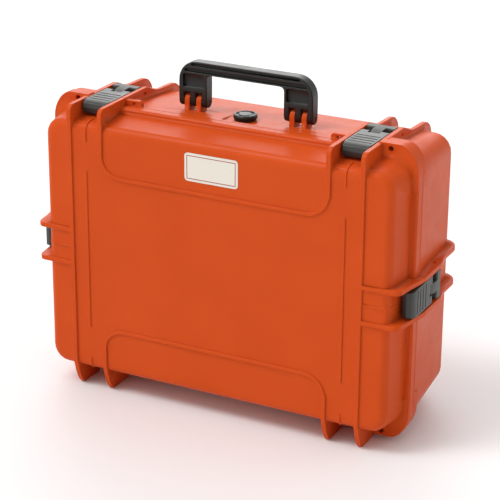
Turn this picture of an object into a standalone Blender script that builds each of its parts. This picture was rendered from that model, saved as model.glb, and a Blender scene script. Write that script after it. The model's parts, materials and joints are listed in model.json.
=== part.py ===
"""Hard equipment case standing on its hinge side, with two shells, four latches, a carry
handle and a pressure valve.  Metres, +Z up.  The lid faces -Y."""

import bpy
import bmesh
from math import cos, pi, radians, sin
from mathutils import Matrix, Vector

MM = 0.001
GAP = 0.3 * MM

# Overall layout.  Depths are counted from the flat front of the lid towards the back, and
# heights from a level just under the feet; both are shifted when a mesh is stored.
DEPTH_SHIFT = -106.75 * MM
FEET_Z = 2.4 * MM
MIDDLE_Z = 211.6 * MM
LID_HALF_W = 253.7 * MM
LID_HALF_H = 178.6 * MM
LID_EDGE_R = 11.5 * MM
LID_CORNER_R = 24.0 * MM
LID_DRAFT_W = 4.9 * MM
LID_DRAFT_H = 4.0 * MM
RIM_FRONT = 47.5 * MM
SEAM = 62.0 * MM
RIM_HALF_W = 267.3 * MM
RIM_HALF_H = 191.2 * MM
RIM_CORNER_R = 33.0 * MM
RIM_BACK = 66.0 * MM
BASE_HALF_W = 265.8 * MM
BASE_HALF_H = 189.7 * MM
BACK_HALF_W = 257.5 * MM
BACK_HALF_H = 179.2 * MM
BACK_CORNER_R = 24.5 * MM
BASE_BACK = 193.7 * MM
BASE_EDGE_R = 12.0 * MM
ROOM_HALF_W = 253.4 * MM
ROOM_HALF_H = 178.2 * MM
ROOM_END_W = 250.0 * MM
ROOM_END_H = 175.0 * MM
ROOM_CORNER_R = 21.0 * MM
ROOM_FRONT = 3.6 * MM
ROOM_BACK = 189.7 * MM
ROOM_EDGE_R = 10.0 * MM

# Notches that let the lid's rim pass under the closed latches.
BAY_HALF = 22.3 * MM
BAY_BACK = 126.0 * MM
LID_BAY_H = 185.4 * MM
LID_BAY_W = 261.2 * MM
BASE_BAY_H = 184.9 * MM
BASE_BAY_W = 260.2 * MM

# Ribs that flank the latches, run over the front as beads and stand below as feet.
RIB_X = (166.2 * MM, 213.4 * MM)
RIB_T = 6.6 * MM
RIB_PROUD = 2.5 * MM
RIB_TOP = 413.0 * MM
RIB_SIDE = 277.3 * MM
SIDE_RIB_Z = 24.3 * MM
FEET_BACK = 216.0 * MM
BEAD_HIGH = 320.5 * MM
BEAD_LOW = 98.8 * MM
BEAD_BEND_R = 30.0 * MM
BEAD_W = 5.0 * MM
BEAD_PROUD = 2.0 * MM
STUB_X = 189.2 * MM
STUB_W = 3.2 * MM
STUB_PROUD = 1.4 * MM
STUB_TOP_START = 365.0 * MM
STUB_LOW_START = 51.0 * MM
RIDGE_PROUD = 0.8 * MM

# Padlock ears at the four corners of the rim.
EAR_TOP = 414.5 * MM
EAR_BASE_DROP = 2.0 * MM
EAR_BACK = 76.0 * MM
EAR_IN_X = 212.0 * MM
EAR_ROUND_X = 26.0 * MM
EAR_ROUND_Z = 36.0 * MM
EAR_BLUNT = 0.88
EAR_HOLE_X = 228.6 * MM
EAR_HOLE_Z = 407.5 * MM
EAR_HOLE_R = 3.6 * MM

# Seal between the shells.
SEAL_MID_W = 257.0 * MM
SEAL_MID_H = 181.8 * MM
SEAL_CORNER_R = 24.0 * MM
SEAL_W = 4.2 * MM
SEAL_DEPTH = 5.0 * MM

# Hinges below the seam.
HINGE_DEPTH = 62.0 * MM
HINGE_Z = 8.2 * MM
HINGE_X = 189.8 * MM
HINGE_R = 5.6 * MM
HINGE_PIN_R = 2.2 * MM
HINGE_CLEAR = 8.6 * MM

# Latches.  Heights are measured outwards from the middle of the case.
LATCH_X = 189.8 * MM
LATCH_W = 38.6 * MM
LATCH_OUT_TOP = 201.4 * MM
LATCH_OUT_SIDE = 276.3 * MM
PIVOT_DEPTH = 114.0 * MM
PIVOT_OUT = -8.0 * MM
LEVER_DEPTH = 88.0 * MM
LEVER_OUT = -7.0 * MM
STEM_W = 15.0 * MM
PIN_R = 2.0 * MM

# Handle and pressure valve on the base's top.
HANDLE_DEPTH = 102.0 * MM
HANDLE_Z = 412.2 * MM
HANDLE_HALF_W = 98.8 * MM
HANDLE_INNER = 57.0 * MM
HANDLE_TOP = 467.0 * MM
HANDLE_BAR = 16.6 * MM
HANDLE_T = 18.0 * MM
HANDLE_SLOT_TOP = 423.0 * MM
SHOULDER_R = 27.0 * MM
PRONGS = ((57.0 * MM, 65.0 * MM), (73.2 * MM, 82.5 * MM), (90.7 * MM, 98.8 * MM))
KNUCKLE_X = (86.6 * MM, 69.1 * MM)
KNUCKLE_W = 7.5 * MM
KNUCKLE_R = 8.6 * MM
HANDLE_PIN_R = 2.5 * MM
PANEL_LOW = (60.5 * MM, 431.0 * MM)
PANEL_HIGH = (92.5 * MM, 449.0 * MM)
PANEL_DEPTH = 6.0 * MM
VALVE_DEPTH = 96.0 * MM
VALVE_R = 16.1 * MM
VALVE_HOLE_R = 8.0 * MM
VALVE_PAD_Z = 397.4 * MM
VALVE_PAD_HALF = 24.5 * MM
VALVE_WALL_Z = 388.3 * MM

LABEL_W = 78.0 * MM
LABEL_H = 38.6 * MM
LABEL_Z = 355.4 * MM
LABEL_T = 0.8 * MM
LABEL_R = 4.8 * MM


def depth(value):
    """Turn a depth behind the lid's front into a world Y."""
    return value + DEPTH_SHIFT


def clear_scene():
    for obj in list(bpy.data.objects):
        bpy.data.objects.remove(obj, do_unlink=True)


def new_collection(name, parent=None):
    made = bpy.data.collections.new(name)
    (parent or bpy.context.scene.collection).children.link(made)
    return made


def make_material(name, colour, roughness, metallic=0.0):
    mat = bpy.data.materials.new(name)
    mat.use_nodes = True
    shader = mat.node_tree.nodes["Principled BSDF"]
    shader.inputs["Base Color"].default_value = (*colour, 1.0)
    shader.inputs["Roughness"].default_value = roughness
    shader.inputs["Metallic"].default_value = metallic
    return mat


def mesh_object(name, bm, collection, material=None, origin=(0.0, 0.0, 0.0)):
    """Store a mesh with its origin at a chosen point, lowered so that the feet stand on Z = 0."""
    bmesh.ops.recalc_face_normals(bm, faces=bm.faces)
    bmesh.ops.translate(bm, verts=bm.verts, vec=-Vector(origin))
    mesh = bpy.data.meshes.new(name)
    bm.to_mesh(mesh)
    bm.free()
    obj = bpy.data.objects.new(name, mesh)
    obj.location = Vector(origin) - Vector((0.0, 0.0, FEET_Z))
    collection.objects.link(obj)
    if material is not None:
        mesh.materials.append(material)
    return obj


def loft(rings, closed=False):
    """Skin a list of point rings.  An open list is capped, a closed one is a tube ring."""
    bm = bmesh.new()
    rows = [[bm.verts.new(p) for p in ring] for ring in rings]
    count = len(rows[0])
    pairs = list(zip(rows, rows[1:]))
    if closed:
        pairs.append((rows[-1], rows[0]))
    for low, high in pairs:
        for i in range(count):
            j = (i + 1) % count
            bm.faces.new((low[i], low[j], high[j], high[i]))
    if not closed:
        bm.faces.new(list(reversed(rows[0])))
        bm.faces.new(rows[-1])
    return bm


def arc(cx, cy, r, start, end, steps):
    """Points on a circular arc, angles in degrees."""
    points = []
    for i in range(steps + 1):
        a = radians(start + (end - start) * i / steps)
        points.append((cx + r * cos(a), cy + r * sin(a)))
    return points


def rounded_rect(half_w, half_h, r, steps=5):
    points = []
    points += arc(half_w - r, half_h - r, r, 0, 90, steps)
    points += arc(r - half_w, half_h - r, r, 90, 180, steps)
    points += arc(r - half_w, r - half_h, r, 180, 270, steps)
    points += arc(half_w - r, r - half_h, r, 270, 360, steps)
    return points


def case_ring(half_w, half_h, r, at, steps=5):
    """A rounded rectangle standing across the case's depth."""
    return [Vector((x, depth(at), MIDDLE_Z + z)) for x, z in rounded_rect(half_w, half_h, r, steps)]


def prism(outline, axis, low, high):
    """Extrude an outline along X, Y or Z.  Outlines are (Y,Z), (X,Z) or (X,Y) pairs."""
    rings = []
    for level in (low, high):
        if axis == "X":
            rings.append([Vector((level, a, b)) for a, b in outline])
        elif axis == "Y":
            rings.append([Vector((a, level, b)) for a, b in outline])
        else:
            rings.append([Vector((a, b, level)) for a, b in outline])
    return loft(rings)


def cylinder(axis, centre, r, low, high, steps=24):
    """A round bar along one axis.  The centre is given in the other two directions."""
    return prism(arc(centre[0], centre[1], r, 0, 360 * (steps - 1) / steps, steps - 1), axis, low, high)


def tube(axis, centre, r_out, r_in, low, high, steps=32):
    """A plain ring along one axis."""
    rings = []
    for r, level in ((r_out, low), (r_out, high), (r_in, high), (r_in, low)):
        flat = arc(centre[0], centre[1], r, 0, 360 * (steps - 1) / steps, steps - 1)
        if axis == "X":
            rings.append([Vector((level, a, b)) for a, b in flat])
        elif axis == "Y":
            rings.append([Vector((a, level, b)) for a, b in flat])
        else:
            rings.append([Vector((a, b, level)) for a, b in flat])
    return loft(rings, closed=True)


def strip(path, width):
    """Outline of a constant-width band along an open path in a plane."""
    left = []
    right = []
    for i, point in enumerate(path):
        before = Vector(path[max(i - 1, 0)])
        after = Vector(path[min(i + 1, len(path) - 1)])
        along = (after - before).normalized()
        side = Vector((-along.y, along.x)) * width / 2
        left.append(tuple(Vector(point) + side))
        right.append(tuple(Vector(point) - side))
    return left + right[::-1]


def boolean(obj, tools, operation):
    modifier = obj.modifiers.new(operation.title(), "BOOLEAN")
    modifier.operand_type = "COLLECTION"
    modifier.collection = tools
    modifier.operation = operation
    modifier.solver = "EXACT"


def add_tool(bm, name, collection):
    tool = mesh_object(name, bm, collection)
    tool.hide_render = True
    tool.display_type = "WIRE"
    return tool


def shade(obj, angle=35):
    """Bake the modifiers in and shade curved faces smooth, keeping real edges sharp."""
    graph = bpy.context.evaluated_depsgraph_get()
    mesh = bpy.data.meshes.new_from_object(obj.evaluated_get(graph))
    obj.modifiers.clear()
    obj.data = mesh
    bm = bmesh.new()
    bm.from_mesh(mesh)
    bmesh.ops.remove_doubles(bm, verts=bm.verts, dist=0.00001)
    bmesh.ops.dissolve_degenerate(bm, edges=bm.edges, dist=0.00001)
    bm.to_mesh(mesh)
    bm.free()
    mesh.shade_smooth()
    mesh.set_sharp_from_angle(angle=radians(angle))


# ---------------------------------------------------------------- shells


def lid_rib_outline():
    """Side view of a full lid rib: foot, front bead and top, as depth and height."""
    points = [(SEAM - 5 * MM, FEET_Z), (15 * MM, FEET_Z)]
    for i in range(6):
        t = (i + 1) / 7
        points.append(((12 * (1 - t) ** 1.6 - 0.2) * MM, FEET_Z + (1.6 + 33 * t) * MM))
    points += [(-RIB_PROUD, 40 * MM)]
    points += arc(10 * MM - RIB_PROUD, RIB_TOP - 10 * MM, 10 * MM, 180, 90, 5)
    points += [(SEAM - GAP / 2, RIB_TOP), (SEAM - GAP / 2, 17 * MM), (SEAM - 5 * MM, 12 * MM)]
    return [(depth(y), z) for y, z in points]


def clipped(outline, low, high):
    """Keep the part of a (Y,Z) outline between two heights.  Its ends must be straight."""
    bm = prism(outline, "X", 0.0, 1.0)
    for z, normal in ((low, (0, 0, -1)), (high, (0, 0, 1))):
        cut = bmesh.ops.bisect_plane(
            bm,
            geom=bm.verts[:] + bm.edges[:] + bm.faces[:],
            plane_co=(0, 0, z),
            plane_no=normal,
            clear_outer=True,
        )
        edges = [e for e in cut["geom_cut"] if isinstance(e, bmesh.types.BMEdge)]
        bmesh.ops.edgenet_fill(bm, edges=edges)
    return bm


def squeeze_x(bm, low, high):
    """Map a unit-wide prism to its real X range."""
    for v in bm.verts:
        v.co.x = low + v.co.x * (high - low)
    return bm


def stub_outline():
    """Side view of the short stub that runs over the lid's top edge below each top latch."""
    top = MIDDLE_Z + LID_HALF_H
    r = LID_EDGE_R
    points = [(-STUB_PROUD, STUB_TOP_START)]
    points += arc(r, top - r, r + STUB_PROUD, 180, 90, 6)
    points += [(22 * MM, top + 2.0 * MM), (22 * MM, top - 6 * MM), (6 * MM, STUB_TOP_START)]
    return [(depth(y), z) for y, z in points]


def low_stub_outline():
    """Side view of the matching stub at the lid's lower edge."""
    low = MIDDLE_Z - LID_HALF_H
    r = LID_EDGE_R
    points = [(6 * MM, STUB_LOW_START), (-STUB_PROUD, STUB_LOW_START)]
    points += arc(r, low + r, r + STUB_PROUD, 180, 270, 6)
    points += [(22 * MM, low - 2.0 * MM), (22 * MM, low + 6 * MM)]
    return [(depth(y), z) for y, z in points]


def ridge_outline():
    """Plan view of the low ridge in the middle of each side latch's bay, for the +X side."""
    r = LID_EDGE_R
    points = [(215 * MM, -RIDGE_PROUD)]
    points += arc(LID_HALF_W - r, r, r + RIDGE_PROUD, -90, 0, 6)
    points += [(LID_HALF_W + 2 * MM, 22 * MM), (215 * MM, 22 * MM)]
    return [(x, depth(y)) for x, y in points]


def base_rib_outline():
    """Side view of a base rib: top land, step, bumper, back pads and foot."""
    seam = SEAM + GAP / 2
    points = [(seam, RIB_TOP), (118 * MM, RIB_TOP), (124 * MM, 411.5 * MM), (136 * MM, 406 * MM)]
    points += [(146 * MM, 402.6 * MM), (157 * MM, 400.8 * MM), (180 * MM, 399.9 * MM)]
    points += arc(190 * MM, 373.5 * MM, 26 * MM, 90, 0, 6)
    points += [(FEET_BACK, 346 * MM), (188 * MM, 318 * MM), (188 * MM, 105 * MM)]
    points += [(FEET_BACK, 77 * MM)]
    points += arc(196 * MM, 20 * MM + FEET_Z, 20 * MM, 0, -90, 5)
    points += [(HINGE_DEPTH + HINGE_CLEAR, FEET_Z)]
    points += arc(HINGE_DEPTH, HINGE_Z, HINGE_CLEAR, 0, 85, 5)
    points += [(seam, HINGE_Z + HINGE_CLEAR + 0.1 * MM)]
    return [(depth(y), z) for y, z in points]


def lid_side_rib_outline():
    """Plan view of a side rib on the lid, for the +X side."""
    points = [(215 * MM, -RIB_PROUD), (257 * MM, -RIB_PROUD)]
    points += arc(258.5 * MM, 7.5 * MM, 10 * MM, -75, -5, 5)
    points += [(271.1 * MM, 25 * MM), (275.4 * MM, RIM_FRONT), (RIB_SIDE, SEAM - GAP / 2)]
    points += [(215 * MM, SEAM - GAP / 2)]
    return [(x, depth(y)) for x, y in points]


def base_side_rib_outline():
    """Plan view of a side rib on the base, for the +X side."""
    out = RIB_SIDE
    points = [(240 * MM, SEAM + GAP / 2), (out, SEAM + GAP / 2), (out, 118 * MM)]
    points += [(out - 1.0 * MM, 124 * MM), (273 * MM, 136 * MM), (271.4 * MM, 146 * MM)]
    points += arc(246 * MM, 175 * MM, 25 * MM, 0, 90, 6)
    points += [(215 * MM, 200 * MM), (195 * MM, 188 * MM)]
    return [(x, depth(y)) for x, y in points]


def mirrored(outline):
    return [(-a, b) for a, b in outline]


def ear_outline(sx, sz, drop):
    """Front view of a padlock ear at the corner given by two signs."""
    tall = EAR_TOP - MIDDLE_Z - drop
    wide = RIM_HALF_W - GAP
    points = [(EAR_IN_X, tall - 60 * MM), (EAR_IN_X, tall)]
    for i in range(9):
        a = radians(90 - 90 * i / 8)
        x = wide - EAR_ROUND_X * (1 - abs(cos(a)) ** (1 / EAR_BLUNT))
        points.append((x, tall - EAR_ROUND_Z * (1 - abs(sin(a)) ** (1 / EAR_BLUNT))))
    points += [(wide, tall - 60 * MM)]
    return [(sx * a, MIDDLE_Z + sz * b) for a, b in points]


def bead_outline(sign, turn_z):
    """Raised bead joining the two inner ribs, as a U or an upside-down U."""
    x = RIB_X[0]
    bend = BEAD_BEND_R
    path = [(-x, turn_z + sign * (bend + 12 * MM))]
    path += arc(-x + bend, turn_z + sign * bend, bend, 180, 180 + sign * 90, 6)
    path += arc(x - bend, turn_z + sign * bend, bend, -sign * 90, 0, 6)
    path += [(x, turn_z + sign * (bend + 12 * MM))]
    return strip(path, BEAD_W)


def small_ear_outline(sx):
    """Front view of the small lanyard ear beside each top latch bay."""
    points = [(139 * MM, 390 * MM), (139 * MM, 407 * MM), (142 * MM, 410.5 * MM)]
    points += [(166 * MM, 410.5 * MM), (166 * MM, 390 * MM)]
    return [(sx * a, b) for a, b in points]


def lid_outer_rings():
    rings = []
    for step in range(6):
        a = radians(90 * step / 5)
        shrink = LID_EDGE_R * (1 - sin(a))
        size = (LID_HALF_W - shrink, LID_HALF_H - shrink, LID_CORNER_R - shrink)
        rings.append(case_ring(*size, LID_EDGE_R * (1 - cos(a))))
    wide = LID_HALF_W + LID_DRAFT_W
    rings.append(case_ring(wide, LID_HALF_H + LID_DRAFT_H, LID_CORNER_R + 3 * MM, RIM_FRONT))
    inset = 2.5 * MM
    size = (RIM_HALF_W - inset, RIM_HALF_H - inset, RIM_CORNER_R - inset)
    rings.append(case_ring(*size, RIM_FRONT))
    rings.append(case_ring(RIM_HALF_W, RIM_HALF_H, RIM_CORNER_R, RIM_FRONT + inset))
    rings.append(case_ring(RIM_HALF_W, RIM_HALF_H, RIM_CORNER_R, SEAM - GAP / 2))
    return rings


def seal_rings(extra, low, high):
    """A closed ring that follows the rim; extra is its half width."""
    rings = []
    r = SEAL_CORNER_R
    for side, at in ((extra, low), (extra, high), (-extra, high), (-extra, low)):
        rings.append(case_ring(SEAL_MID_W + side, SEAL_MID_H + side, r + side, at))
    return rings


def build_lid(collection, tools, material):
    shell = mesh_object("lid_shell", loft(lid_outer_rings()), collection, material)
    notches = new_collection("lid_notches", tools)
    adds = new_collection("lid_adds", tools)
    cuts = new_collection("lid_cuts", tools)
    add_notches(notches, (RIM_FRONT - 2 * MM, SEAM + 2 * MM), LID_BAY_W, LID_BAY_H)
    half = RIB_T / 2
    for sx in (-1, 1):
        x = sx * RIB_X[1]
        add_tool(prism(lid_rib_outline(), "X", x - half, x + half), "lid_rib_outer", adds)
        x = sx * RIB_X[0]
        low = clipped(lid_rib_outline(), -MM, BEAD_LOW - BEAD_BEND_R + 4 * MM)
        add_tool(squeeze_x(low, x - half, x + half), "lid_rib_foot", adds)
        high = clipped(lid_rib_outline(), BEAD_HIGH + BEAD_BEND_R - 4 * MM, RIB_TOP + MM)
        add_tool(squeeze_x(high, x - half, x + half), "lid_rib_top", adds)
        for sz in (-1, 1):
            z = MIDDLE_Z + sz * SIDE_RIB_Z
            outline = lid_side_rib_outline()
            outline = outline if sx > 0 else mirrored(outline)
            add_tool(prism(outline, "Z", z - half, z + half), "lid_side_rib", adds)
            ear = prism(ear_outline(sx, sz, 0.0), "Y", depth(RIM_FRONT - 0.4 * MM), depth(SEAM - GAP))
            add_tool(ear, "lid_ear", adds)
            hole_z = MIDDLE_Z + sz * (EAR_HOLE_Z - MIDDLE_Z)
            hole = cylinder("Y", (sx * EAR_HOLE_X, hole_z), EAR_HOLE_R, depth(40 * MM), depth(90 * MM), 20)
            add_tool(hole, "lid_ear_hole", cuts)
        knuckle_x = sx * HINGE_X
        centre = (depth(HINGE_DEPTH), HINGE_Z)
        barrel = cylinder("X", centre, HINGE_R, knuckle_x - 9.5 * MM, knuckle_x + 9.5 * MM)
        add_tool(barrel, "lid_knuckle", adds)
        web = [(48.5 * MM, 24 * MM), (61.8 * MM, 24 * MM), (61.8 * MM, HINGE_Z), (56.6 * MM, HINGE_Z)]
        web = [(depth(y), z) for y, z in web]
        add_tool(prism(web, "X", knuckle_x - 9.5 * MM, knuckle_x + 9.5 * MM), "lid_web", adds)
        bore = cylinder("X", centre, HINGE_PIN_R + 0.05 * MM, knuckle_x - 12 * MM, knuckle_x + 12 * MM)
        add_tool(bore, "lid_knuckle_bore", cuts)
        x = sx * STUB_X
        outline = strip([(x, 97 * MM), (x, 324 * MM)], STUB_W)
        add_tool(prism(outline, "Y", depth(-STUB_PROUD), depth(2 * MM)), "lid_mid_rib", adds)
        for outline in (stub_outline(), low_stub_outline()):
            add_tool(prism(outline, "X", x - STUB_W / 2, x + STUB_W / 2), "lid_stub", adds)
        outline = ridge_outline() if sx > 0 else mirrored(ridge_outline())
        z = MIDDLE_Z - STUB_W / 2
        add_tool(prism(outline, "Z", z, z + STUB_W), "lid_ridge", adds)
    for sign, z in ((1, BEAD_HIGH), (-1, BEAD_LOW)):
        bead = prism(bead_outline(sign, z), "Y", depth(-BEAD_PROUD), depth(2 * MM))
        add_tool(bead, "lid_bead", adds)
    room = [case_ring(ROOM_END_W, ROOM_END_H, ROOM_CORNER_R, ROOM_FRONT)]
    room.append(case_ring(ROOM_HALF_W, ROOM_HALF_H, ROOM_CORNER_R, SEAM + MM))
    add_tool(loft(room), "lid_room", cuts)
    groove = loft(seal_rings(SEAL_W / 2, SEAM - SEAL_DEPTH, SEAM + MM), closed=True)
    add_tool(groove, "lid_seal_groove", cuts)
    pocket = [(x, z + LABEL_Z) for x, z in rounded_rect(LABEL_W / 2 + GAP, LABEL_H / 2 + GAP, LABEL_R + GAP)]
    add_tool(prism(pocket, "Y", depth(-4 * MM), depth(LABEL_T)), "lid_label_pocket", cuts)
    boolean(shell, notches, "DIFFERENCE")
    boolean(shell, adds, "UNION")
    boolean(shell, cuts, "DIFFERENCE")
    shade(shell)
    return shell


def base_outer_rings():
    rings = [case_ring(RIM_HALF_W, RIM_HALF_H, RIM_CORNER_R, SEAM + GAP / 2)]
    rings.append(case_ring(RIM_HALF_W, RIM_HALF_H, RIM_CORNER_R, RIM_BACK))
    rings.append(case_ring(BASE_HALF_W, BASE_HALF_H, RIM_CORNER_R - MM, RIM_BACK + MM))
    for step in range(6):
        a = radians(90 * step / 5)
        shrink = BASE_EDGE_R * (1 - cos(a))
        at = BASE_BACK - BASE_EDGE_R * (1 - sin(a))
        rings.append(case_ring(BACK_HALF_W - shrink, BACK_HALF_H - shrink, BACK_CORNER_R, at))
    return rings


def base_room_rings():
    rings = [case_ring(ROOM_HALF_W, ROOM_HALF_H, ROOM_CORNER_R, SEAM - 3 * MM)]
    for step in range(6):
        a = radians(90 * step / 5)
        shrink = ROOM_EDGE_R * (1 - cos(a))
        at = ROOM_BACK - ROOM_EDGE_R * (1 - sin(a))
        rings.append(case_ring(ROOM_END_W - shrink, ROOM_END_H - shrink, ROOM_CORNER_R, at))
    return rings


def add_notches(collection, depths, half_w, half_h):
    """Boxes that lower the rim in the four latch bays to given half sizes."""
    near, far = depth(depths[0]), depth(depths[1])
    for sx in (-1, 1):
        x = sx * LATCH_X
        low = MIDDLE_Z + half_h
        box = [(x - BAY_HALF, low), (x + BAY_HALF, low)]
        box += [(x + BAY_HALF, low + 20 * MM), (x - BAY_HALF, low + 20 * MM)]
        add_tool(prism(box, "Y", near, far), "top_bay", collection)
        ends = sorted((sx * half_w, sx * (half_w + 20 * MM)))
        box = [(ends[0], MIDDLE_Z - BAY_HALF), (ends[1], MIDDLE_Z - BAY_HALF)]
        box += [(ends[1], MIDDLE_Z + BAY_HALF), (ends[0], MIDDLE_Z + BAY_HALF)]
        add_tool(prism(box, "Y", near, far), "side_bay", collection)


def knuckle_outline():
    """Side view of a handle knuckle on the base's top."""
    centre_y = depth(HANDLE_DEPTH)
    points = [(centre_y + KNUCKLE_R + MM, 394 * MM), (centre_y + KNUCKLE_R, HANDLE_Z - 4 * MM)]
    points += arc(centre_y, HANDLE_Z, KNUCKLE_R, 0, 180, 9)
    points += [(centre_y - KNUCKLE_R, HANDLE_Z - 4 * MM), (centre_y - KNUCKLE_R - MM, 394 * MM)]
    return points


def build_base(collection, tools, material):
    shell = mesh_object("base_shell", loft(base_outer_rings()), collection, material)
    notches = new_collection("base_notches", tools)
    adds = new_collection("base_adds", tools)
    cuts = new_collection("base_cuts", tools)
    add_notches(notches, (SEAM - 2 * MM, BAY_BACK), BASE_BAY_W, BASE_BAY_H)
    half = RIB_T / 2
    for sx in (-1, 1):
        for rib_x in RIB_X:
            x = sx * rib_x
            add_tool(prism(base_rib_outline(), "X", x - half, x + half), "base_rib", adds)
            pivot = (depth(PIVOT_DEPTH), MIDDLE_Z + LATCH_OUT_TOP + PIVOT_OUT)
            bore = cylinder("X", pivot, PIN_R + 0.05 * MM, x - 5 * MM, x + 5 * MM, 16)
            add_tool(bore, "base_latch_bore", cuts)
        for sz in (-1, 1):
            z = MIDDLE_Z + sz * SIDE_RIB_Z
            outline = base_side_rib_outline()
            outline = outline if sx > 0 else mirrored(outline)
            add_tool(prism(outline, "Z", z - half, z + half), "base_side_rib", adds)
            pivot = (sx * (LATCH_OUT_SIDE + PIVOT_OUT), depth(PIVOT_DEPTH))
            bore = cylinder("Z", pivot, PIN_R + 0.05 * MM, z - 5 * MM, z + 5 * MM, 16)
            add_tool(bore, "base_latch_bore", cuts)
            ear = prism(ear_outline(sx, sz, EAR_BASE_DROP), "Y", depth(SEAM + GAP), depth(EAR_BACK))
            add_tool(ear, "base_ear", adds)
            hole_z = MIDDLE_Z + sz * (EAR_HOLE_Z - MIDDLE_Z)
            hole = cylinder("Y", (sx * EAR_HOLE_X, hole_z), EAR_HOLE_R, depth(40 * MM), depth(90 * MM), 20)
            add_tool(hole, "base_ear_hole", cuts)
        small = prism(small_ear_outline(sx), "Y", depth(SEAM + GAP), depth(70 * MM))
        add_tool(small, "base_small_ear", adds)
        hole = cylinder("Y", (sx * 150 * MM, 405.8 * MM), 2.2 * MM, depth(55 * MM), depth(80 * MM), 16)
        add_tool(hole, "base_small_hole", cuts)
        for side in (-1, 1):
            x = sx * HINGE_X + side * 14.6 * MM
            centre = (depth(HINGE_DEPTH), HINGE_Z)
            add_tool(cylinder("X", centre, HINGE_R, x - 4.8 * MM, x + 4.8 * MM), "base_knuckle", adds)
            web = [(62.2 * MM, 24 * MM), (74 * MM, 24 * MM), (67.4 * MM, HINGE_Z), (62.2 * MM, HINGE_Z)]
            web = [(depth(y), z) for y, z in web]
            add_tool(prism(web, "X", x - 4.8 * MM, x + 4.8 * MM), "base_web", adds)
            bore = cylinder("X", centre, HINGE_PIN_R + 0.05 * MM, x - 8 * MM, x + 8 * MM)
            add_tool(bore, "base_knuckle_bore", cuts)
        for knuckle_x in KNUCKLE_X:
            x = sx * knuckle_x
            low = x - KNUCKLE_W / 2
            high = x + KNUCKLE_W / 2
            add_tool(prism(knuckle_outline(), "X", low, high), "handle_knuckle", adds)
            centre = (depth(HANDLE_DEPTH), HANDLE_Z)
            bore = cylinder("X", centre, HANDLE_PIN_R + 0.05 * MM, low - MM, high + MM, 20)
            add_tool(bore, "handle_knuckle_bore", cuts)
    tongue = loft(seal_rings(1.2 * MM, SEAM - 1.8 * MM, SEAM + 2 * MM), closed=True)
    add_tool(tongue, "base_tongue", adds)
    add_tool(loft(base_room_rings()), "base_room", cuts)
    hole = cylinder("Z", (0.0, depth(VALVE_DEPTH)), VALVE_HOLE_R, 380 * MM, 402 * MM, 32)
    add_tool(hole, "valve_hole", cuts)
    near = depth(VALVE_DEPTH - 22 * MM)
    far = depth(VALVE_DEPTH + 22 * MM)
    pad = [(near, VALVE_PAD_Z), (far, VALVE_PAD_Z), (far + MM, 404 * MM), (near, 404 * MM)]
    add_tool(prism(pad, "X", -VALVE_PAD_HALF, VALVE_PAD_HALF), "valve_pad", cuts)
    boolean(shell, notches, "DIFFERENCE")
    boolean(shell, adds, "UNION")
    boolean(shell, cuts, "DIFFERENCE")
    shade(shell)
    return shell


def build_seal(collection, material):
    rings = seal_rings(SEAL_W / 2 - GAP, SEAM - SEAL_DEPTH + GAP, SEAM - 2.1 * MM)
    seal = mesh_object("lid_gasket", loft(rings, closed=True), collection, material)
    seal.data.shade_smooth()
    seal.data.set_sharp_from_angle(angle=radians(35))
    return seal


def build_label(collection, material):
    outline = [(x, z + LABEL_Z) for x, z in rounded_rect(LABEL_W / 2, LABEL_H / 2, LABEL_R)]
    bm = prism(outline, "Y", depth(-0.4 * MM), depth(LABEL_T - 0.1 * MM))
    return mesh_object("label_plate", bm, collection, material)


# ---------------------------------------------------------------- hinges, handle, valve


def build_pin(name, axis, centre, r, low, high, collection, material):
    """A straight pin with small chamfered ends."""
    flat = arc(0, 0, 1.0, 0, 330, 11)
    rings = []
    levels = ((0.8, low), (1.0, low + 0.2 * r), (1.0, high - 0.2 * r), (0.8, high))
    for scale, level in levels:
        ring = []
        for a, b in flat:
            p = (centre[0] + a * r * scale, centre[1] + b * r * scale)
            ring.append(Vector((level, p[0], p[1])) if axis == "X" else Vector((p[0], p[1], level)))
        rings.append(ring)
    pin = mesh_object(name, loft(rings), collection, material)
    pin.data.shade_smooth()
    pin.data.set_sharp_from_angle(angle=radians(35))
    return pin


def handle_outline():
    """Front view of the handle: a wide staple with rounded shoulders."""
    outer = HANDLE_HALF_W
    inner = HANDLE_INNER
    under = HANDLE_TOP - HANDLE_BAR
    low = HANDLE_SLOT_TOP
    r = SHOULDER_R
    points = [(outer, low)]
    points += arc(outer - r, HANDLE_TOP - r, r, 0, 90, 8)
    points += arc(r - outer, HANDLE_TOP - r, r, 90, 180, 8)
    points += [(-outer, low), (-inner, low)]
    points += arc(6 * MM - inner, under - 6 * MM, 6 * MM, 180, 90, 3)
    points += arc(inner - 6 * MM, under - 6 * MM, 6 * MM, 90, 0, 3)
    points += [(inner, low)]
    return points


def prong_outline():
    """Side view of one handle prong with its rounded end around the pin."""
    y = depth(HANDLE_DEPTH)
    half = HANDLE_T / 2
    points = [(y + half, HANDLE_SLOT_TOP + 2 * MM)]
    points += arc(y, HANDLE_Z, half, 0, -180, 8)
    points += [(y - half, HANDLE_SLOT_TOP + 2 * MM)]
    return points


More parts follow.
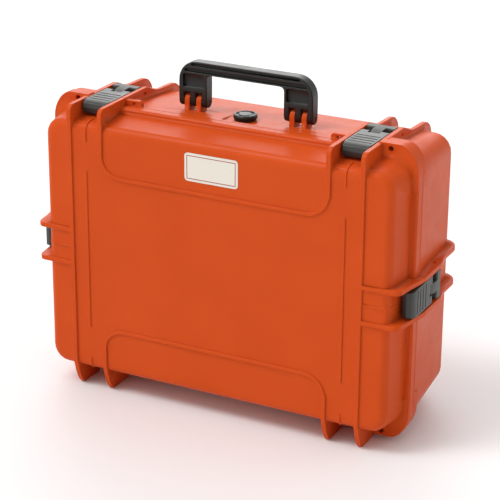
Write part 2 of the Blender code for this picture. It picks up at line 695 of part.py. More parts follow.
def build_handle(collection, tools, material):
    y = depth(HANDLE_DEPTH)
    half = HANDLE_T / 2
    origin = (0.0, y, HANDLE_Z)
    body = prism(handle_outline(), "Y", y - half, y + half)
    handle = mesh_object("handle", body, collection, material, origin)
    adds = new_collection("handle_adds", tools)
    cuts = new_collection("handle_cuts", tools)
    for sx in (-1, 1):
        for near, far in PRONGS:
            low, high = sorted((sx * near, sx * far))
            add_tool(prism(prong_outline(), "X", low, high), "prong", adds)
        inner = HANDLE_INNER - 5 * MM
        bore = cylinder("X", (y, HANDLE_Z), HANDLE_PIN_R + 0.05 * MM, sx * inner, sx * 105 * MM, 20)
        add_tool(bore, "handle_bore", cuts)
        panel_x = sx * (PANEL_LOW[0] + PANEL_HIGH[0]) / 2
        panel_z = (PANEL_LOW[1] + PANEL_HIGH[1]) / 2
        size = ((PANEL_HIGH[0] - PANEL_LOW[0]) / 2, (PANEL_HIGH[1] - PANEL_LOW[1]) / 2)
        panel = [(panel_x + x, panel_z + z) for x, z in rounded_rect(*size, 2 * MM, 3)]
        add_tool(prism(panel, "Y", y - half - MM, y - half + PANEL_DEPTH), "handle_panel", cuts)
    for z, reach, tall in ((454.4 * MM, 90 * MM, 2.2 * MM), (462.6 * MM, 80 * MM, 1.9 * MM)):
        groove = [(x, z + h) for x, h in rounded_rect(reach, tall, 1.7 * MM, 3)]
        add_tool(prism(groove, "Y", y - half - MM, y - half + 4.5 * MM), "handle_groove", cuts)
    boolean(handle, adds, "UNION")
    boolean(handle, cuts, "DIFFERENCE")
    shade(handle)
    return handle


def turned(profile, centre, steps=36):
    """Turn a closed (radius, height) profile about a vertical axis."""
    rings = []
    for i in range(steps):
        a = 2 * pi * i / steps
        rings.append([Vector((centre[0] + r * cos(a), centre[1] + r * sin(a), z)) for r, z in profile])
    return loft(rings, closed=True)


def smooth(obj):
    obj.data.shade_smooth()
    obj.data.set_sharp_from_angle(angle=radians(35))


def build_valve(collection, tools, materials):
    """Threaded bushing through the base's top, with a knob outside and a nut inside."""
    centre = (0.0, depth(VALVE_DEPTH))
    top = VALVE_PAD_Z
    wall_in = VALVE_WALL_Z
    profile = [(4.5, top + 2.2 * MM), (4.5, wall_in - 7 * MM), (7.6, wall_in - 7 * MM)]
    profile += [(7.6, top + 0.9 * MM), (15.0, top + 0.9 * MM), (15.0, top + 2.2 * MM)]
    profile = [(r * MM, z) for r, z in profile]
    smooth(mesh_object("valve_body", turned(profile, centre), collection, materials["black"]))
    washer = tube("Z", centre, 13.5 * MM, 8.0 * MM, top + 0.1 * MM, top + 0.8 * MM)
    smooth(mesh_object("valve_gasket", washer, collection, materials["rubber"]))
    nut_low = wall_in - 6 * MM
    nut = [(centre[0] + x, centre[1] + y) for x, y in arc(0, 0, 14 * MM, 0, 300, 5)]
    bm = prism(nut, "Z", nut_low, wall_in - 0.3 * MM)
    obj = mesh_object("valve_nut", bm, collection, materials["black"])
    cuts = new_collection("nut_cuts", tools)
    add_tool(cylinder("Z", centre, 7.75 * MM, nut_low - MM, wall_in + MM, 36), "nut_bore", cuts)
    boolean(obj, cuts, "DIFFERENCE")
    shade(obj)
    membrane = cylinder("Z", centre, 4.3 * MM, wall_in - 5.4 * MM, wall_in - 5.0 * MM, 24)
    smooth(mesh_object("valve_membrane", membrane, collection, materials["membrane"]))
    low = top + 2.5 * MM
    cap_top = top + 8.4 * MM
    profile = [(0.0, low), (VALVE_R - 1.0 * MM, low), (VALVE_R, low + MM), (VALVE_R, cap_top - 2 * MM)]
    profile += [(VALVE_R - 0.7 * MM, cap_top - 0.6 * MM), (VALVE_R - 2.4 * MM, cap_top), (0.0, cap_top)]
    origin = (centre[0], centre[1], low)
    cap = mesh_object("valve_cap", capped_turn(profile, centre), collection, materials["black"], origin)
    cuts = new_collection("cap_cuts", tools)
    ring = tube("Z", centre, 12.4 * MM, 8.8 * MM, cap_top - 1.4 * MM, cap_top + MM, 36)
    add_tool(ring, "cap_ring", cuts)
    seat = tube("Z", centre, 12.2 * MM, 8.2 * MM, low - MM, low + 1.7 * MM, 36)
    add_tool(seat, "cap_seal_seat", cuts)
    boolean(cap, cuts, "DIFFERENCE")
    bridge = new_collection("cap_adds", tools)
    bar = [(centre[0] + x, centre[1] + y) for x, y in rounded_rect(13.2 * MM, 2.2 * MM, 1.0 * MM, 2)]
    bar = rotated(bar, centre, -20)
    add_tool(prism(bar, "Z", cap_top - 3 * MM, cap_top - 0.2 * MM), "cap_bar", bridge)
    boolean(cap, bridge, "UNION")
    shade(cap)
    seal = tube("Z", centre, 11.9 * MM, 8.6 * MM, low + 0.1 * MM, low + 1.4 * MM, 36)
    smooth(mesh_object("valve_o_ring", seal, collection, materials["rubber"]))


def rotated(outline, centre, angle):
    a = radians(angle)
    points = []
    for x, y in outline:
        dx = x - centre[0]
        dy = y - centre[1]
        points.append((centre[0] + dx * cos(a) - dy * sin(a), centre[1] + dx * sin(a) + dy * cos(a)))
    return points


def capped_turn(profile, centre, steps=36):
    """Turn a profile that starts and ends on the axis into a closed solid."""
    rings = []
    for r, z in profile[1:-1]:
        flat = arc(centre[0], centre[1], r, 0, 360 * (steps - 1) / steps, steps - 1)
        rings.append([Vector((a, b, z)) for a, b in flat])
    return loft(rings)


# ---------------------------------------------------------------- latches


def lever_outline(drop):
    """Side view of the lever as depth and outward height above the latch line."""
    points = [(25.0, -drop - 1), (23.2, -9.0), (25.5, -3.0), (30, -0.6), (36, 0), (88, 0)]
    points += arc(88, -4.4, 4.4, 60, -60, 5)
    points += [(90.5, -12.2), (84, -13), (62, -13), (58, 1 - drop), (50, 1 - drop), (45, -drop), (36, -drop)]
    return [(d * MM, h * MM) for d, h in points]


def link_outline():
    """Side view of the link's cross bar."""
    points = [(104, -1.2), (105.2, 0.5), (115, 0.5), (118.5, -1.8)]
    points += arc(PIVOT_DEPTH / MM, PIVOT_OUT / MM, 6.4, 25, -75, 6)
    points += [(107, -13.4), (104, -10.5)]
    return [(d * MM, h * MM) for d, h in points]


def stem_outline():
    """Side view of the link's stem, from the cross bar to the lever pivot."""
    points = [(110, 0.4), (110, -12), (96, -12)]
    points += arc(LEVER_DEPTH / MM, LEVER_OUT / MM, 5.0, 270, 90, 6)
    points += [(96, 0.4)]
    return [(d * MM, h * MM) for d, h in points]


def latch_place(side, sign):
    """World matrix of a latch: depth along +Y, outward along +Z before placing."""
    if side == "top":
        return Matrix.Translation((sign * LATCH_X, DEPTH_SHIFT, MIDDLE_Z + LATCH_OUT_TOP))
    turn = Matrix.Rotation(radians(90 * sign), 4, "Y")
    return Matrix.Translation((sign * LATCH_OUT_SIDE, DEPTH_SHIFT, MIDDLE_Z)) @ turn


def latch_object(name, bm, place, origin, collection, material):
    """Store a latch piece modelled in the latch's own frame, with its origin on its pivot."""
    bmesh.ops.transform(bm, matrix=place, verts=bm.verts)
    return mesh_object(name, bm, collection, material, place @ Vector(origin))


def build_latch(name, side, sign, collection, tools, materials):
    place = latch_place(side, sign)
    half = LATCH_W / 2
    lever_pivot = (0.0, LEVER_DEPTH, LEVER_OUT)
    link_pivot = (0.0, PIVOT_DEPTH, PIVOT_OUT)

    drop = 15.4 if side == "top" else 14.6
    lever = prism(lever_outline(drop), "X", -half, half)
    lever = latch_object(name + "_lever", lever, place, lever_pivot, collection, materials["black"])
    cuts = new_collection(name + "_lever_cuts", tools)
    slot = [(81, 5), (120, 5), (120, -20), (81, -20)]
    slot = prism([(d * MM, h * MM) for d, h in slot], "X", -STEM_W / 2 - 0.5 * MM, STEM_W / 2 + 0.5 * MM)
    bore = cylinder("X", (LEVER_DEPTH, LEVER_OUT), PIN_R + 0.05 * MM, -half - MM, half + MM, 16)
    tool_list = [(slot, "slot"), (bore, "bore")]
    for sx in (-1, 1):
        corner = [(sx * half, 38 * MM), (sx * (half - 2.4 * MM), 23 * MM), (sx * (half - 2.4 * MM), 20 * MM)]
        corner += [(sx * (half + 3 * MM), 20 * MM), (sx * (half + 3 * MM), 38 * MM)]
        tool_list.append((prism(corner, "Z", -20 * MM, 5 * MM), "corner"))
    for at in (38, 47, 56, 65):
        groove = [(at * MM, MM), ((at + 3) * MM, MM)]
        groove += [((at + 2.6) * MM, -0.8 * MM), ((at + 0.4) * MM, -0.8 * MM)]
        tool_list.append((prism(groove, "X", -half + 3 * MM, half - 3 * MM), "groove"))
    for bm, label in tool_list:
        bmesh.ops.transform(bm, matrix=place, verts=bm.verts)
        add_tool(bm, name + "_" + label, cuts)
    boolean(lever, cuts, "DIFFERENCE")
    shade(lever)

    link = prism(link_outline(), "X", -half, half)
    link = latch_object(name + "_link", link, place, link_pivot, collection, materials["link"])
    adds = new_collection(name + "_link_adds", tools)
    cuts = new_collection(name + "_link_cuts", tools)
    stem = prism(stem_outline(), "X", -STEM_W / 2, STEM_W / 2)
    lever_bore = cylinder("X", (LEVER_DEPTH, LEVER_OUT), PIN_R + 0.05 * MM, -half, half, 16)
    base_bore = cylinder("X", (PIVOT_DEPTH, PIVOT_OUT), PIN_R + 0.05 * MM, -half - MM, half + MM, 16)
    for bm, label, group in ((stem, "stem", adds), (lever_bore, "bore", cuts), (base_bore, "pivot", cuts)):
        bmesh.ops.transform(bm, matrix=place, verts=bm.verts)
        add_tool(bm, name + "_" + label, group)
    boolean(link, adds, "UNION")
    boolean(link, cuts, "DIFFERENCE")
    shade(link)

    pins = (("lever_pin", lever_pivot, half - 0.2 * MM), ("pivot_pin", link_pivot, 23.0 * MM))
    for label, pivot, reach in pins:
        flat = arc(pivot[1], pivot[2], PIN_R, 0, 330, 11)
        bm = prism(flat, "X", -reach, reach)
        pin = latch_object(name + "_" + label, bm, place, pivot, collection, materials["black"])
        smooth(pin)


def build():
    clear_scene()
    case = new_collection("equipment_case")
    tools = new_collection("cutters")
    materials = {
        "shell": make_material("orange_shell", (0.80, 0.14, 0.035), 0.45),
        "black": make_material("black_nylon", (0.02, 0.021, 0.02), 0.5),
        "link": make_material("olive_nylon", (0.05, 0.052, 0.045), 0.5),
        "rubber": make_material("seal_rubber", (0.015, 0.015, 0.015), 0.8),
        "steel": make_material("pin_steel", (0.5, 0.5, 0.5), 0.3, 1.0),
        "label": make_material("label_ivory", (0.80, 0.76, 0.66), 0.4),
        "membrane": make_material("membrane_white", (0.75, 0.75, 0.75), 0.7),
    }
    build_lid(case, tools, materials["shell"])
    build_base(case, tools, materials["shell"])
    build_seal(case, materials["rubber"])
    build_label(case, materials["label"])
    build_handle(case, tools, materials["black"])
    build_valve(case, tools, materials)
    for sign, side in ((-1, "left"), (1, "right")):
        centre = (depth(HINGE_DEPTH), HINGE_Z)
        x = sign * HINGE_X
        ends = (x - 19.4 * MM, x + 19.4 * MM)
        build_pin("hinge_pin_" + side, "X", centre, HINGE_PIN_R, *ends, case, materials["steel"])
        centre = (depth(HANDLE_DEPTH), HANDLE_Z)
        ends = sorted((sign * 57.4 * MM, sign * 98.4 * MM))
        build_pin("handle_pin_" + side, "X", centre, HANDLE_PIN_R, *ends, case, materials["black"])
        build_latch("latch_top_" + side, "top", sign, case, tools, materials)
        build_latch("latch_side_" + side, "side", sign, case, tools, materials)


build()
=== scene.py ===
"""Looks of the hard equipment case: an orange moulded shell standing on its hinge side, with
black latches, handle and valve knob.  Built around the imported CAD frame, in metres."""

import json
from math import radians

import bmesh
import bpy
from mathutils import Matrix, Vector
from mathutils.bvhtree import BVHTree
from mathutils.geometry import intersect_point_line


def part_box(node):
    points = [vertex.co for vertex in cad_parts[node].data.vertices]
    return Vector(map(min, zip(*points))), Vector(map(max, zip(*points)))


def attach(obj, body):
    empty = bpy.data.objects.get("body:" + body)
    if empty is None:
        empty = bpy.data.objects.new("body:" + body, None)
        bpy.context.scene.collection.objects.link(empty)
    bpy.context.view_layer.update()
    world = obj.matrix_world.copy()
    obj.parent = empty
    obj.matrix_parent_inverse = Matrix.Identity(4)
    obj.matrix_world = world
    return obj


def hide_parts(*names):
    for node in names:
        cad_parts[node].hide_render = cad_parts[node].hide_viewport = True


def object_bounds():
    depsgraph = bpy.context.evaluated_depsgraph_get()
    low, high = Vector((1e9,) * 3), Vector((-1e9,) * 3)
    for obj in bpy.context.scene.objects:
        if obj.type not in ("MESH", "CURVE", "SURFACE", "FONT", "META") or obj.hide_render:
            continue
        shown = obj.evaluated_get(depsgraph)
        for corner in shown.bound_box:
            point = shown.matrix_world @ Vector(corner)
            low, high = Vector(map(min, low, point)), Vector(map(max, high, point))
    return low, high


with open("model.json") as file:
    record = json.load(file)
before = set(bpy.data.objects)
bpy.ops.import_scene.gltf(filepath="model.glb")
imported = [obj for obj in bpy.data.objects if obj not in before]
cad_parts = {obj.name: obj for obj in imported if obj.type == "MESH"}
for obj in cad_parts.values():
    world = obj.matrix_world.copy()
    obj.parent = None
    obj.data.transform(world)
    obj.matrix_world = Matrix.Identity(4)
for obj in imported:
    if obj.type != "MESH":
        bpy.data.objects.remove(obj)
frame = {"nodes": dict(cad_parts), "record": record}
cad_low, cad_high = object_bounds()

MM = 0.001

# Welding of the CAD meshes, and the angles that decide what is flat, sharp or shaded as sharp.
MERGE = 0.12 * MM
TINY_EDGE = MERGE / 2
FLAT_ANGLE = radians(1.0)
SHARP_ANGLE = radians(24.0)
SHADING_ANGLE = radians(40)

# Edge rounding of each kind of piece.
SHELL_ROUND = 0.8 * MM
NYLON_ROUND = 0.6 * MM
SEAL_ROUND = 0.6 * MM
PIN_ROUND = 0.25 * MM
PLATE_ROUND = 0.35 * MM
MEMBRANE_ROUND = 0.1 * MM
HANDLE_ROUND = 3.2 * MM
ROUND_STEPS = 3

# The most that a rounding may take: a share of the edges at its ends, and for a wide one
# also a share of the distance to other sharp edges, measured at these shares of its length.
NO_LIMIT = 1.0
LENGTH_SHARE = 0.42
IN_LINE = -0.8
WIDE_ROUND = MM
GAP_SHARE = 0.45
GAP_SAMPLES = (0.1, 0.5, 0.9)

# Where a rounding folds over, the edges in reach are cut by these shares, one after another.
LESS_ROUND = (0.5, 0.5, 0.4, 0.0, 0.0, 0.0)
FOLD_REACH = 1.5 * MM
FOLD_COSINE = -0.2
SMALLEST_FACE = 0.02 * MM * MM

# Ranges of pattern values that the materials stretch to their own.
NOISE_RANGE = (0.3, 0.7)
CLOUD_RANGE = (0.32, 0.68)
SPECK_RANGE = (0.35, 0.7)
DUST_RANGE = (0.45, 0.75)
EDGE_COSINES = (0.995, 0.86)

# Pattern scales of moulded plastic, in cycles per metre, and the radius of its lighter edges,
# which are partly wear and partly a painted highlight.
CLOUD_SCALE = 14.0
SPECK_SCALE = 900.0
WEAR_AND_HIGHLIGHT_SCALE = 160.0
SMEAR_SCALE = 30.0
GLOSS_SCALE = 1400.0
WAVE_SCALE = 24.0
CELL_SCALE = 1500.0
GRIT_SCALE = 3200.0
EDGE_RADIUS = 1.1 * MM

# Gloss and reflection of single materials.
SHELL_IOR = 1.18
NYLON_SPECULAR = 0.35

# Printed border of the label, as distances from its edge.
BORDER_START = 3.2 * MM
BORDER_END = 4.3 * MM

# Camera of the reference view, as a place and three directions.
CAMERA_PLACE = Vector((1.06402, -2.08216, 1.13430))
CAMERA_RIGHT = Vector((0.88973585, 0.45642964, 0.00648877))
CAMERA_DOWN = Vector((0.17376643, -0.32551644, -0.92943223))
CAMERA_AHEAD = Vector((-0.42210822, 0.82807671, -0.36893580))
SENSOR = 36.0
LENS = 132.98

# Soft sources of the white room: direction, strength and how narrow each one is.
WHITE = (1.0, 1.0, 1.0, 1.0)
ROOM_LIGHT = 0.22
SOFT_SOURCES = (
    ((-0.40, -0.42, 0.82), 0.60, 3.0),
    ((-0.42, -0.37, 0.83), 18.0, 80.0),
    ((0.80, 0.50, 0.33), 0.80, 3.0),
    ((-0.50, -0.85, 0.12), 0.74, 4.0),
    ((-0.42, 0.80, 0.42), 3.8, 16.0),
    ((-0.10, 0.25, 0.96), 0.4, 4.0),
)

# The floor reaches beyond the horizon of low views.
FLOOR_HALF = 25.0
FLOOR_COLOUR = (0.86, 0.86, 0.86)
FLOOR_ROUGHNESS = 0.7


# ---------------------------------------------------------------- material helpers


class Graph:
    """Adds and links the shader nodes of one material."""

    def __init__(self, name):
        self.material = bpy.data.materials.new(name)
        self.material.use_nodes = True
        self.nodes = self.material.node_tree.nodes
        self.links = self.material.node_tree.links
        self.shader = self.nodes["Principled BSDF"]
        self.place = self.add("ShaderNodeTexCoord").outputs["Object"]

    def add(self, kind, **settings):
        node = self.nodes.new(kind)
        for key, value in settings.items():
            setattr(node, key, value)
        return node

    def link(self, source, target):
        self.links.new(source, target)

    def noise(self, scale, detail, rough=0.5, distortion=0.0):
        """Noise with a scale in cycles per metre."""
        node = self.add("ShaderNodeTexNoise")
        self.link(self.place, node.inputs["Vector"])
        node.inputs["Scale"].default_value = scale
        node.inputs["Detail"].default_value = detail
        node.inputs["Roughness"].default_value = rough
        node.inputs["Distortion"].default_value = distortion
        return node.outputs["Fac"]

    def cells(self, scale):
        """Small rounded cells, as in a spark-eroded mould surface."""
        node = self.add("ShaderNodeTexVoronoi", feature="SMOOTH_F1")
        self.link(self.place, node.inputs["Vector"])
        node.inputs["Scale"].default_value = scale
        return node.outputs["Distance"]

    def spread(self, source, low, high, out_low, out_high):
        """Stretches the values between low and high to the other two."""
        node = self.add("ShaderNodeMapRange")
        self.link(source, node.inputs["Value"])
        node.inputs["From Min"].default_value = low
        node.inputs["From Max"].default_value = high
        node.inputs["To Min"].default_value = out_low
        node.inputs["To Max"].default_value = out_high
        return node.outputs["Result"]

    def math(self, operation, first, second):
        node = self.add("ShaderNodeMath", operation=operation)
        for slot, value in zip(node.inputs, (first, second)):
            if isinstance(value, (int, float)):
                slot.default_value = value
            else:
                self.link(value, slot)
        return node.outputs["Value"]

    def mix(self, factor, first, second):
        node = self.add("ShaderNodeMix", data_type="RGBA")
        for name, value in (("A", first), ("B", second)):
            slot = [s for s in node.inputs if s.name == name and s.type == "RGBA"][0]
            if isinstance(value, tuple):
                slot.default_value = (*value, 1.0)
            else:
                self.link(value, slot)
        self.link(factor, node.inputs["Factor"])
        return [s for s in node.outputs if s.type == "RGBA"][0]

    def edges(self, radius):
        """1 on rounded edges and 0 on flat areas."""
        bevel = self.add("ShaderNodeBevel", samples=4)
        bevel.inputs["Radius"].default_value = radius
        normal = self.add("ShaderNodeNewGeometry").outputs["Normal"]
        dot = self.add("ShaderNodeVectorMath", operation="DOT_PRODUCT")
        self.link(bevel.outputs["Normal"], dot.inputs[0])
        self.link(normal, dot.inputs[1])
        return self.spread(dot.outputs["Value"], *EDGE_COSINES, 0.0, 1.0)

    def bump(self, height, strength, distance, below=None):
        node = self.add("ShaderNodeBump")
        node.inputs["Strength"].default_value = strength
        node.inputs["Distance"].default_value = distance
        self.link(height, node.inputs["Height"])
        if below is not None:
            self.link(below, node.inputs["Normal"])
        return node.outputs["Normal"]

    def finish(self, colour, roughness, normal=None):
        """Sets or links what the shader shows, and gives the material."""
        if isinstance(colour, tuple):
            self.shader.inputs["Base Color"].default_value = (*colour, 1.0)
        else:
            self.link(colour, self.shader.inputs["Base Color"])
        if isinstance(roughness, float):
            self.shader.inputs["Roughness"].default_value = roughness
        else:
            self.link(roughness, self.shader.inputs["Roughness"])
        if normal is not None:
            self.link(normal, self.shader.inputs["Normal"])
        return self.material


def set_on_shader(material, name, value):
    """Sets a value that is the same all over the surface."""
    material.node_tree.nodes["Principled BSDF"].inputs[name].default_value = value
    return material


# ---------------------------------------------------------------- materials


def moulded_plastic(name, colour, light, dark, roughness, grain, edge_share):
    """Moulded plastic: mottled pigment, fine eroded grain, flow waviness, and lighter edges
    that are partly wear and partly a painted highlight.
    """
    g = Graph(name)
    cloud = g.spread(g.noise(CLOUD_SCALE, 3.0), *CLOUD_RANGE, 0.0, 1.0)
    tint = g.mix(cloud, dark, colour)
    speck = g.spread(g.noise(SPECK_SCALE, 1.0), *SPECK_RANGE, 0.0, 0.22)
    tint = g.mix(speck, tint, light)
    # Lighter edges: edge wear mixed with a painted highlight where rounded edges catch the
    # light.
    corner = g.edges(EDGE_RADIUS)
    patch = g.spread(g.noise(WEAR_AND_HIGHLIGHT_SCALE, 4.0), *NOISE_RANGE, 0.25, 1.0)
    edge_wear_and_highlight = g.math("MULTIPLY", corner, patch)
    tint = g.mix(g.math("MULTIPLY", edge_wear_and_highlight, edge_share), tint, light)
    flow = g.noise(SMEAR_SCALE, 4.0, rough=0.6, distortion=0.6)
    smear = g.spread(flow, *NOISE_RANGE, roughness - 0.05, roughness + 0.05)
    fine_gloss = g.spread(g.noise(GLOSS_SCALE, 1.0), *NOISE_RANGE, -0.03, 0.03)
    gloss = g.math("ADD", smear, fine_gloss)
    gloss = g.math("SUBTRACT", gloss, g.math("MULTIPLY", edge_wear_and_highlight, 0.08))
    wave = g.bump(g.noise(WAVE_SCALE, 1.0), 0.12, 0.35 * MM)
    fine = g.bump(g.cells(CELL_SCALE), grain, 0.03 * MM, below=wave)
    grit = g.bump(g.noise(GRIT_SCALE, 2.0), grain * 0.6, 0.02 * MM, below=fine)
    return g.finish(tint, gloss, grit)


def orange_shell():
    material = moulded_plastic(
        "orange_moulded",
        colour=(0.610, 0.072, 0.009),
        light=(0.73, 0.12, 0.025),
        dark=(0.570, 0.064, 0.007),
        roughness=0.36,
        grain=0.5,
        edge_share=0.35,
    )
    return set_on_shader(material, "IOR", SHELL_IOR)


def black_nylon():
    material = moulded_plastic(
        "black_moulded",
        colour=(0.009, 0.009, 0.0075),
        light=(0.040, 0.040, 0.035),
        dark=(0.007, 0.007, 0.006),
        roughness=0.36,
        grain=0.7,
        edge_share=0.4,
    )
    return set_on_shader(material, "Specular IOR Level", NYLON_SPECULAR)


def lever_nylon():
    return moulded_plastic(
        "lever_moulded",
        colour=(0.021, 0.022, 0.018),
        light=(0.075, 0.076, 0.066),
        dark=(0.015, 0.016, 0.013),
        roughness=0.40,
        grain=0.8,
        edge_share=0.5,
    )


def olive_nylon():
    return moulded_plastic(
        "olive_moulded",
        colour=(0.062, 0.064, 0.053),
        light=(0.14, 0.142, 0.125),
        dark=(0.046, 0.048, 0.040),
        roughness=0.48,
        grain=0.7,
        edge_share=0.4,
    )


def seal_rubber():
    """Dull black rubber with a little dust."""
    g = Graph("seal_rubber_soft")
    dust = g.spread(g.noise(120.0, 5.0), *DUST_RANGE, 0.0, 0.5)
    tint = g.mix(dust, (0.012, 0.012, 0.012), (0.05, 0.048, 0.045))
    gloss = g.spread(g.noise(300.0, 3.0), *NOISE_RANGE, 0.68, 0.88)
    return g.finish(tint, gloss, g.bump(g.noise(1800.0, 3.0), 0.5, 0.05 * MM))


def pin_steel():
    """Bright steel with fine turned lines around the pin."""
    g = Graph("pin_steel_turned")
    stretch = g.add("ShaderNodeMapping")
    stretch.inputs["Scale"].default_value = (60.0, 900.0, 900.0)
    g.link(g.place, stretch.inputs["Vector"])
    lines = g.add("ShaderNodeTexNoise")
    lines.inputs["Scale"].default_value = 4.0
    lines.inputs["Detail"].default_value = 3.0
    g.link(stretch.outputs["Vector"], lines.inputs["Vector"])
    tint = g.mix(lines.outputs["Fac"], (0.42, 0.42, 0.43), (0.62, 0.62, 0.63))
    gloss = g.spread(lines.outputs["Fac"], *NOISE_RANGE, 0.22, 0.38)
    material = g.finish(tint, gloss, g.bump(lines.outputs["Fac"], 0.2, 0.02 * MM))
    return set_on_shader(material, "Metallic", 1.0)


def membrane_white():
    """White felt of short crossing fibres."""
    g = Graph("membrane_felt")
    fibre = g.noise(2600.0, 5.0, rough=0.7, distortion=1.5)
    share = g.spread(fibre, *NOISE_RANGE, 0.0, 1.0)
    tint = g.mix(share, (0.60, 0.60, 0.58), (0.82, 0.82, 0.80))
    return g.finish(tint, 0.8, g.bump(fibre, 0.8, 0.05 * MM))


def label_plate(low, high):
    """Ivory plate with a plain printed border and no lettering."""
    g = Graph("label_printed")
    split = g.add("ShaderNodeSeparateXYZ")
    g.link(g.place, split.inputs["Vector"])
    centre = (low + high) / 2
    half = (high - low) / 2
    gaps = []
    for axis, name in ((0, "X"), (2, "Z")):
        offset = g.math("SUBTRACT", split.outputs[name], centre[axis])
        gaps.append(g.math("SUBTRACT", half[axis], g.math("ABSOLUTE", offset, 0.0)))
    inset = g.math("MINIMUM", *gaps)
    past_start = g.math("GREATER_THAN", inset, BORDER_START)
    before_end = g.math("LESS_THAN", inset, BORDER_END)
    line = g.math("MULTIPLY", past_start, before_end)
    mottle = g.spread(g.noise(700.0, 4.0), *NOISE_RANGE, 0.0, 1.0)
    paper = g.mix(mottle, (0.74, 0.69, 0.59), (0.80, 0.76, 0.66))
    tint = g.mix(line, paper, (0.36, 0.025, 0.03))
    gloss = g.spread(g.noise(90.0, 3.0), *NOISE_RANGE, 0.30, 0.42)
    return g.finish(tint, gloss, g.bump(g.noise(1200.0, 2.0), 0.12, 0.03 * MM))


# ---------------------------------------------------------------- meshes


def apart(point, start, end):
    """Distance from a point to the line between two others."""
    foot, along = intersect_point_line(point, start, end)
    foot = start if along < 0 else end if along > 1 else foot
    return (foot - point).length


def is_outer_corner(edge):
    """True on a sharp edge that stands out, which a mould leaves rounded."""
    return len(edge.link_faces) == 2 and edge.calc_face_angle_signed(0.0) > SHARP_ANGLE


def room_beside(edge):
    """How far this edge can be rounded before it meets another edge at its ends."""
    allowed = NO_LIMIT
    for vert in edge.verts:
        along = (edge.other_vert(vert).co - vert.co).normalized()
        for other in vert.link_edges:
            if other is edge:
                continue
            direction = (other.other_vert(vert).co - vert.co).normalized()
            if direction.dot(along) < IN_LINE:
                continue
            allowed = min(allowed, other.calc_length() * LENGTH_SHARE)
    return allowed


def gap_around(edge, segments):
    """Distance from an edge to the nearest sharp edge that it doesn't touch."""
    first, last = edge.verts[0].co, edge.verts[1].co
    nearest = NO_LIMIT
    for share in GAP_SAMPLES:
        point = first.lerp(last, share)
        for other, start, end in segments:
            if other is edge or set(other.verts) & set(edge.verts):
                continue
            nearest = min(nearest, apart(point, start, end))
    return nearest


def with_bevel(name, width):
    """An object whose bevel follows the edge weights of the mesh that it is given."""
    obj = bpy.data.objects.new(name, bpy.data.meshes.new(name))
    bpy.context.scene.collection.objects.link(obj)
    bevel = obj.modifiers.new("Round", "BEVEL")
    bevel.width = width
    bevel.segments = ROUND_STEPS
    bevel.limit_method = "WEIGHT"
    bevel.use_clamp_overlap = False
    bevel.miter_outer = "MITER_ARC"
    return obj


def baked(obj):
    """The object's mesh with its modifiers applied, in triangles."""
    bpy.context.view_layer.update()
    graph = bpy.context.evaluated_depsgraph_get()
    mesh = bpy.data.meshes.new_from_object(obj.evaluated_get(graph))
    bm = bmesh.new()
    bm.from_mesh(mesh)
    bmesh.ops.triangulate(bm, faces=bm.faces)
    bm.to_mesh(mesh)
    bm.free()
    return mesh


def folded_spots(mesh, source):
    """Centres of the faces of some size that look away from the CAD surface beside them."""
    spots = []
    for face in mesh.polygons:
        if face.area > SMALLEST_FACE:
            beside = source.find_nearest(face.center)[1]
            if beside.dot(face.normal) < FOLD_COSINE:
                spots.append(face.center.copy())
    return spots


def rounded_copy(node, name, width):
    """A welded copy of a CAD node with every outer corner rounded as far as there is room."""
    bm = bmesh.new()
    bm.from_mesh(frame["nodes"][node].data)
    bmesh.ops.remove_doubles(bm, verts=bm.verts, dist=MERGE)
    bmesh.ops.dissolve_degenerate(bm, edges=bm.edges, dist=TINY_EDGE)
    source = BVHTree.FromBMesh(bm)
    bmesh.ops.dissolve_limit(bm, angle_limit=FLAT_ANGLE, verts=bm.verts, edges=bm.edges)
    weight = bm.edges.layers.float.new("bevel_weight_edge")
    sharp = [
        edge
        for edge in bm.edges
        if len(edge.link_faces) == 2 and edge.calc_face_angle(0.0) > SHARP_ANGLE
    ]
    segments = [(edge, edge.verts[0].co, edge.verts[1].co) for edge in sharp]
    for edge in bm.edges:
        if is_outer_corner(edge):
            room = room_beside(edge)
            if width > WIDE_ROUND:
                room = min(room, GAP_SHARE * gap_around(edge, segments))
            edge[weight] = min(1.0, room / width)
    obj = with_bevel(name, width)
    for share in LESS_ROUND:
        bm.to_mesh(obj.data)
        rounded = baked(obj)
        spots = folded_spots(rounded, source)
        if not spots:
            break
        for edge in sharp:
            ends = (edge.verts[0].co, edge.verts[1].co)
            if any(apart(spot, *ends) < FOLD_REACH for spot in spots):
                edge[weight] *= share
    bm.free()
    obj.modifiers.clear()
    obj.data = rounded
    finish_normals(obj)
    return obj


def finish_normals(obj):
    """Smooth shading that keeps flat areas flat and sharp edges sharp."""
    mesh = obj.data
    mesh.shade_smooth()
    mesh.set_sharp_from_angle(angle=SHADING_ANGLE)
    normals = obj.modifiers.new("Normals", "WEIGHTED_NORMAL")
    normals.keep_sharp = True


def dress(obj, material, body, slot, *nodes):
    """Gives a piece its material and body, and lets it stand for its CAD nodes by hiding them.
    """
    obj.data.materials.clear()
    obj.data.materials.append(material)
    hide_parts(*nodes)
    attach(obj, body)


# ---------------------------------------------------------------- build

node_body = {}
for body_name, members in frame["record"]["behaviour"]["bodies"].items():
    for member in members:
        node_body[member] = body_name

node_slot = {part["node"]: part["material_slot"] for part in frame["record"]["subparts"]}

# Material and edge rounding of each material slot.
looks = {
    "orange_shell": (orange_shell(), SHELL_ROUND),
    "black_nylon": (black_nylon(), NYLON_ROUND),
    "olive_nylon": (olive_nylon(), NYLON_ROUND),
    "seal_rubber": (seal_rubber(), SEAL_ROUND),
    "pin_steel": (pin_steel(), PIN_ROUND),
    "label_ivory": (label_plate(*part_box("label_plate")), PLATE_ROUND),
    "membrane_white": (membrane_white(), MEMBRANE_ROUND),
}
levers = lever_nylon()

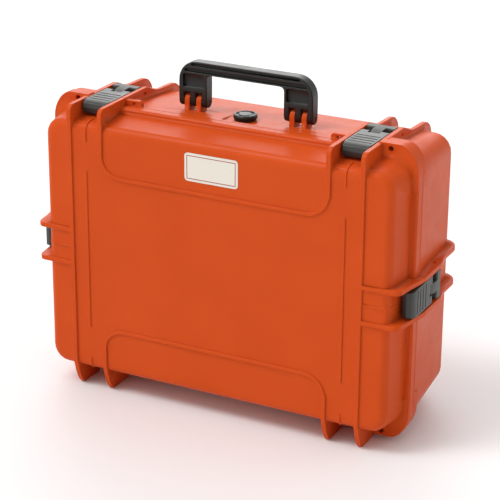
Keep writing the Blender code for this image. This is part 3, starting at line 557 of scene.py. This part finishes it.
for node, body_name in sorted(node_body.items()):
    slot_name = node_slot[node]
    finish, width = looks[slot_name]
    if node == "handle":
        width = HANDLE_ROUND
    if node.endswith("_lever"):
        finish = levers
    piece = rounded_copy(node, node + "_look", width)
    dress(piece, finish, body_name, slot_name, node)


# ---------------------------------------------------------------- stage, light, camera


def pale_floor():
    """A plain matt floor at the level that the case stands on."""
    mesh = bpy.data.meshes.new("floor")
    size = FLOOR_HALF
    level = cad_low.z
    corners = [(x * size, y * size, level) for x, y in ((-1, -1), (1, -1), (1, 1), (-1, 1))]
    mesh.from_pydata(corners, [], [(0, 1, 2, 3)])
    floor = bpy.data.objects.new("floor", mesh)
    bpy.context.scene.collection.objects.link(floor)
    mesh.materials.append(Graph("pale_floor").finish(FLOOR_COLOUR, FLOOR_ROUGHNESS))


def with_source(tree, ray, light, direction, strength, focus):
    """The light so far, with one soft source added around a direction."""
    dot = tree.nodes.new("ShaderNodeVectorMath")
    dot.operation = "DOT_PRODUCT"
    dot.inputs[1].default_value = Vector(direction).normalized()
    tree.links.new(ray, dot.inputs[0])
    value = dot.outputs["Value"]
    for operation, second in (("MAXIMUM", 0.0), ("POWER", focus), ("MULTIPLY_ADD", strength)):
        step = tree.nodes.new("ShaderNodeMath")
        step.operation = operation
        step.inputs[1].default_value = second
        tree.links.new(value, step.inputs[0])
        value = step.outputs["Value"]
    if isinstance(light, float):
        step.inputs[2].default_value = light
    else:
        tree.links.new(light, step.inputs[2])
    return value


def white_seen_directly(tree, background):
    """Plain white where the room itself is in view, whatever its light."""
    backdrop = tree.nodes.new("ShaderNodeBackground")
    backdrop.inputs["Color"].default_value = WHITE
    seen = tree.nodes.new("ShaderNodeLightPath").outputs["Is Camera Ray"]
    mix = tree.nodes.new("ShaderNodeMixShader")
    tree.links.new(seen, mix.inputs["Fac"])
    tree.links.new(background.outputs["Background"], mix.inputs[1])
    tree.links.new(backdrop.outputs["Background"], mix.inputs[2])
    tree.links.new(mix.outputs["Shader"], tree.nodes["World Output"].inputs["Surface"])


def studio():
    """White room with an even light and the soft sources, darker on the camera's side."""
    world = bpy.data.worlds.new("studio")
    world.use_nodes = True
    tree = world.node_tree
    ray = tree.nodes.new("ShaderNodeTexCoord").outputs["Generated"]
    light = ROOM_LIGHT
    for direction, strength, focus in SOFT_SOURCES:
        light = with_source(tree, ray, light, direction, strength, focus)
    background = tree.nodes["Background"]
    background.inputs["Color"].default_value = WHITE
    tree.links.new(light, background.inputs["Strength"])
    white_seen_directly(tree, background)
    bpy.context.scene.world = world
    bpy.context.scene.view_settings.view_transform = "Standard"


def camera():
    data = bpy.data.cameras.new("camera")
    data.sensor_width = SENSOR
    data.lens = LENS
    obj = bpy.data.objects.new("camera", data)
    axes = Matrix((CAMERA_RIGHT, -CAMERA_DOWN, -CAMERA_AHEAD)).transposed()
    obj.matrix_world = Matrix.Translation(CAMERA_PLACE) @ axes.to_4x4()
    bpy.context.scene.collection.objects.link(obj)
    bpy.context.scene.camera = obj


pale_floor()
studio()
camera()
